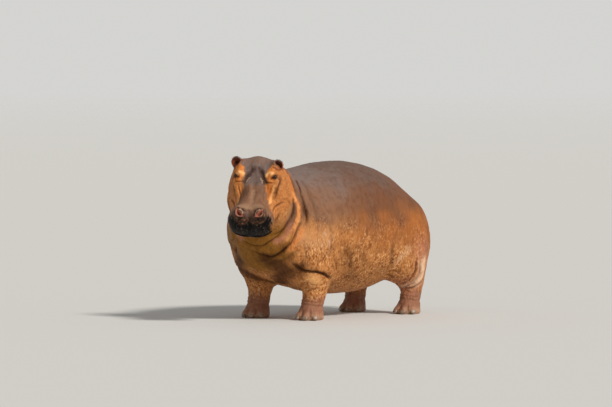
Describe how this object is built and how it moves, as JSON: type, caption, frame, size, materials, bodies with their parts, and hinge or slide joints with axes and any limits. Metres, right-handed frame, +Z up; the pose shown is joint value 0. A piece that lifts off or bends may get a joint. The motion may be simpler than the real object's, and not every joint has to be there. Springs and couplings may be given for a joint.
{
  "type": "hippopotamus",
  "caption": "Life-size still model of a standing hippopotamus, head turned to its left and lowered, with heavy jowls, small round ears and a short tail.",
  "frame": {"origin": "on the floor, under the middle of the whole animal's box", "axes": "the spine lies along X with the head at -X and the tail at +X; the animal's own left side is -Y; +Z is up"},
  "size_m": [2.6662, 1.1474, 1.4666],
  "materials": {
    "back_hide": "bare grey-brown hide, fine creases, dull satin",
    "throat_skin": "orange-brown skin in soft folds, satin",
    "face_skin": "grey-brown bridge with orange cheeks, near-black wet muzzle front, satin to glossy",
    "leg_skin": "mottled orange-brown skin, creased at the joints, satin",
    "ear_skin": "thin dark red-brown skin with short hairs on the rim",
    "horn_nail": "dark horn, worn at the edge",
    "wet_eye": "wet dark brown"
  },
  "bodies": {
    "root": {"shoulders": "back_hide", "barrel": "back_hide", "rump": "back_hide", "tail": "back_hide", "neck": "throat_skin", "lower_jaw": "throat_skin", "head": "face_skin", "foreleg_left": "leg_skin", "foreleg_right": "leg_skin", "hindleg_left": "leg_skin", "hindleg_right": "leg_skin", "forefoot_left": "leg_skin", "forefoot_right": "leg_skin", "hindfoot_left": "leg_skin", "hindfoot_right": "leg_skin", "ear_left": "ear_skin", "ear_right": "ear_skin", "forenail_left_1": "horn_nail", "forenail_left_2": "horn_nail", "forenail_left_3": "horn_nail", "forenail_left_4": "horn_nail", "forenail_right_1": "horn_nail", "forenail_right_2": "horn_nail", "forenail_right_3": "horn_nail", "forenail_right_4": "horn_nail", "hindnail_left_1": "horn_nail", "hindnail_left_2": "horn_nail", "hindnail_left_3": "horn_nail", "hindnail_left_4": "horn_nail", "hindnail_right_1": "horn_nail", "hindnail_right_2": "horn_nail", "hindnail_right_3": "horn_nail", "hindnail_right_4": "horn_nail", "eye_left": "wet_eye", "eye_right": "wet_eye"}
  },
  "joints": []
}
